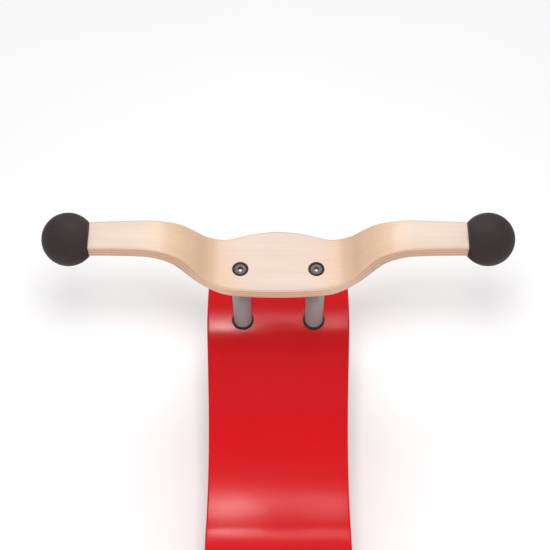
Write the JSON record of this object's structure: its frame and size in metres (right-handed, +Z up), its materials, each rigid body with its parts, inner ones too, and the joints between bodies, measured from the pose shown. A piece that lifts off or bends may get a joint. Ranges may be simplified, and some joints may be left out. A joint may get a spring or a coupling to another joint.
{
  "type": "toddler ride-on",
  "caption": "Low toddler ride-on: a red bent-plywood strip body, a pale bent-plywood handlebar with ball grips on two tube posts, and swivel casters beneath.",
  "frame": {"origin": "on the floor, under the centre of the whole object's box", "axes": "+Z up, +Y forward in the direction of travel, +X to the rider's right"},
  "size_m": [0.4536, 0.4172, 0.4408],
  "materials": {
    "pale_plywood": "clear satin varnish",
    "red_plywood": "red semi-gloss paint on the faces, natural layers on the edges",
    "ball_rubber": "matte, finely grained",
    "satin_aluminium": "satin anodised",
    "grommet_rubber": "matte",
    "dark_screw_steel": "dark grey plated",
    "black_washer": "black oxide",
    "zinc_steel": "bright zinc plated",
    "plug_plastic": "moulded",
    "bearing_steel": "polished",
    "fork_paint": "fine-textured black powder coat",
    "hub_plastic": "moulded, light grey",
    "wheel_rubber": "soft grey-black tread rubber",
    "bronze": "sintered bronze"
  },
  "bodies": {
    "chassis": {"handlebar": "pale_plywood", "grip_ball_left": "ball_rubber", "grip_ball_right": "ball_rubber", "grip_studs": "zinc_steel", "handlebar_screws": "dark_screw_steel", "handlebar_washers": "black_washer", "post_left": "satin_aluminium", "post_right": "satin_aluminium", "post_plugs_top": "plug_plastic", "post_plugs_bottom": "plug_plastic", "post_grommet_left": "grommet_rubber", "post_grommet_right": "grommet_rubber", "post_foot_screws": "zinc_steel", "post_foot_washers": "zinc_steel", "seat_board": "red_plywood", "tee_nut_front_left": "zinc_steel", "caster_stem_front_left": "zinc_steel", "swivel_bearing_front_left": "bearing_steel", "stem_clip_front_left": "dark_screw_steel", "tee_nut_front_right": "zinc_steel", "caster_stem_front_right": "zinc_steel", "swivel_bearing_front_right": "bearing_steel", "stem_clip_front_right": "dark_screw_steel", "tee_nut_rear_left": "zinc_steel", "caster_stem_rear_left": "zinc_steel", "swivel_bearing_rear_left": "bearing_steel", "stem_clip_rear_left": "dark_screw_steel", "tee_nut_rear_right": "zinc_steel", "caster_stem_rear_right": "zinc_steel", "swivel_bearing_rear_right": "bearing_steel", "stem_clip_rear_right": "dark_screw_steel"},
    "swivel_front_left": {"caster_fork_front_left": "fork_paint", "axle_bolt_front_left": "zinc_steel", "axle_nut_front_left": "zinc_steel"},
    "wheel_front_left": {"wheel_hub_front_left": "hub_plastic", "wheel_tyre_front_left": "wheel_rubber", "wheel_bearings_front_left": "bronze"},
    "swivel_front_right": {"caster_fork_front_right": "fork_paint", "axle_bolt_front_right": "zinc_steel", "axle_nut_front_right": "zinc_steel"},
    "wheel_front_right": {"wheel_hub_front_right": "hub_plastic", "wheel_tyre_front_right": "wheel_rubber", "wheel_bearings_front_right": "bronze"},
    "swivel_rear_left": {"caster_fork_rear_left": "fork_paint", "axle_bolt_rear_left": "zinc_steel", "axle_nut_rear_left": "zinc_steel"},
    "wheel_rear_left": {"wheel_hub_rear_left": "hub_plastic", "wheel_tyre_rear_left": "wheel_rubber", "wheel_bearings_rear_left": "bronze"},
    "swivel_rear_right": {"caster_fork_rear_right": "fork_paint", "axle_bolt_rear_right": "zinc_steel", "axle_nut_rear_right": "zinc_steel"},
    "wheel_rear_right": {"wheel_hub_rear_right": "hub_plastic", "wheel_tyre_rear_right": "wheel_rubber", "wheel_bearings_rear_right": "bronze"}
  },
  "joints": [
    {"name": "swivel_front_left", "type": "hinge", "parent": "chassis", "child": "swivel_front_left", "pos_m": [-0.052, 0.115, 0.068], "axis": [0, 0, 1], "continuous": true},
    {"name": "spin_front_left", "type": "hinge", "parent": "swivel_front_left", "child": "wheel_front_left", "pos_m": [-0.052, 0.098, 0.027], "axis": [1, 0, 0], "continuous": true},
    {"name": "swivel_front_right", "type": "hinge", "parent": "chassis", "child": "swivel_front_right", "pos_m": [0.052, 0.115, 0.068], "axis": [0, 0, 1], "continuous": true},
    {"name": "spin_front_right", "type": "hinge", "parent": "swivel_front_right", "child": "wheel_front_right", "pos_m": [0.052, 0.098, 0.027], "axis": [1, 0, 0], "continuous": true},
    {"name": "swivel_rear_left", "type": "hinge", "parent": "chassis", "child": "swivel_rear_left", "pos_m": [-0.052, -0.118, 0.068], "axis": [0, 0, 1], "continuous": true},
    {"name": "spin_rear_left", "type": "hinge", "parent": "swivel_rear_left", "child": "wheel_rear_left", "pos_m": [-0.052, -0.135, 0.027], "axis": [1, 0, 0], "continuous": true},
    {"name": "swivel_rear_right", "type": "hinge", "parent": "chassis", "child": "swivel_rear_right", "pos_m": [0.052, -0.118, 0.068], "axis": [0, 0, 1], "continuous": true},
    {"name": "spin_rear_right", "type": "hinge", "parent": "swivel_rear_right", "child": "wheel_rear_right", "pos_m": [0.052, -0.135, 0.027], "axis": [1, 0, 0], "continuous": true}
  ]
}
